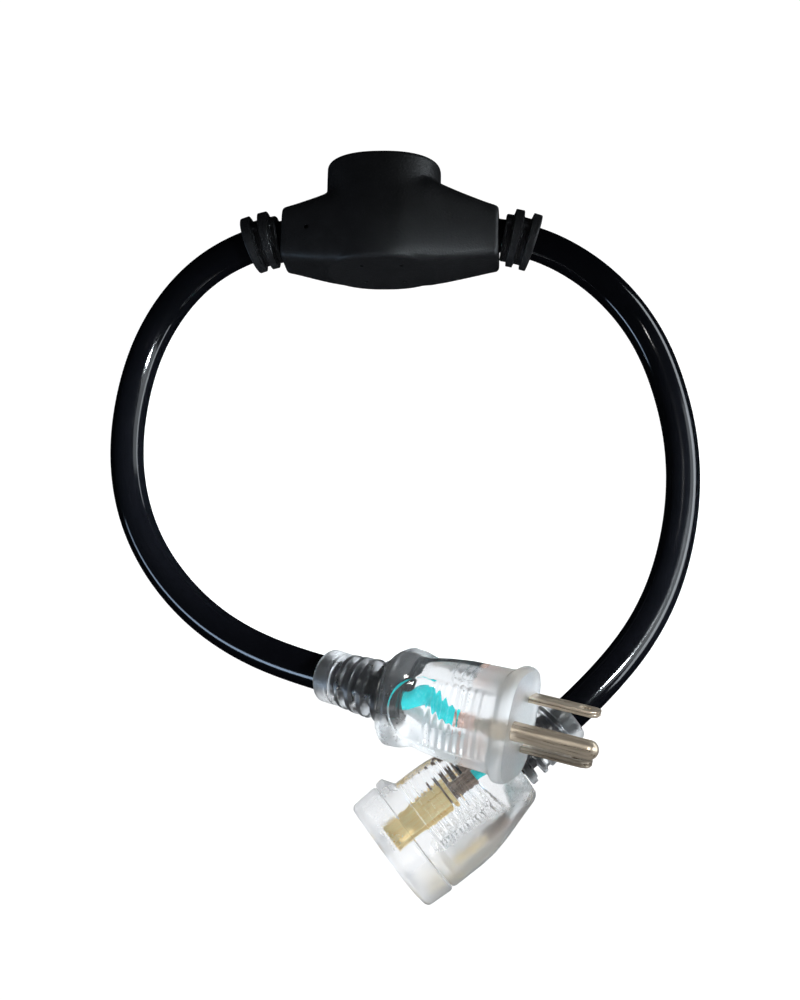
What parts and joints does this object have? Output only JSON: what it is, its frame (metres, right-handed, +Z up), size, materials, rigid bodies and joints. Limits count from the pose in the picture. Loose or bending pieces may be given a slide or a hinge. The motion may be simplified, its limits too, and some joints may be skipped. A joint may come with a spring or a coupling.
{
  "type": "power adapter dogbone",
  "caption": "Short power lead with a black in-line T socket, a clear male plug and a clear female connector, lying in a loop with the plug over the connector.",
  "frame": {"origin": "bottom centre of the adapter's own box, measured without the two jackets, on the surface that it lies on", "axes": "+Y from the plug and connector towards the T socket's mouth, +Z up through the sockets' earth side, +X to the plug's tips"},
  "size_m": [0.1619, 0.1996, 0.0534],
  "materials": {
    "black_pvc": "fine grain, satin",
    "jacket_pvc": "smooth, satin",
    "clear_pvc": "clear moulded vinyl",
    "nickel_plate": "plated, bright",
    "brass": "bright",
    "copper": "bright",
    "core_black": "smooth",
    "core_white": "smooth",
    "core_green": "smooth"
  },
  "bodies": {
    "root": {"tap_housing": "black_pvc", "tap_socket_plate": "black_pvc", "tap_relief_plug_side": "black_pvc", "tap_relief_connector_side": "black_pvc", "plug_body": "clear_pvc", "plug_relief": "clear_pvc", "plug_line_blade": "nickel_plate", "plug_neutral_blade": "nickel_plate", "plug_ground_pin": "nickel_plate", "connector_body": "clear_pvc", "connector_cap": "clear_pvc", "connector_relief": "clear_pvc", "cord_plug_side": "jacket_pvc", "cord_connector_side": "jacket_pvc", "tap_line_contact": "brass", "tap_line_wire": "core_black", "plug_line_crimp": "copper", "plug_line_wire": "core_black", "connector_line_contact": "brass", "connector_line_crimp": "nickel_plate", "connector_line_wire": "core_black", "tap_neutral_contact": "brass", "tap_neutral_wire": "core_white", "plug_neutral_crimp": "copper", "plug_neutral_wire": "core_white", "connector_neutral_contact": "brass", "connector_neutral_crimp": "nickel_plate", "connector_neutral_wire": "core_white", "tap_ground_contact": "brass", "tap_ground_wire": "core_green", "plug_ground_crimp": "copper", "plug_ground_wire": "core_green", "connector_ground_contact": "brass", "connector_ground_crimp": "nickel_plate", "connector_ground_wire": "core_green"}
  },
  "joints": []
}
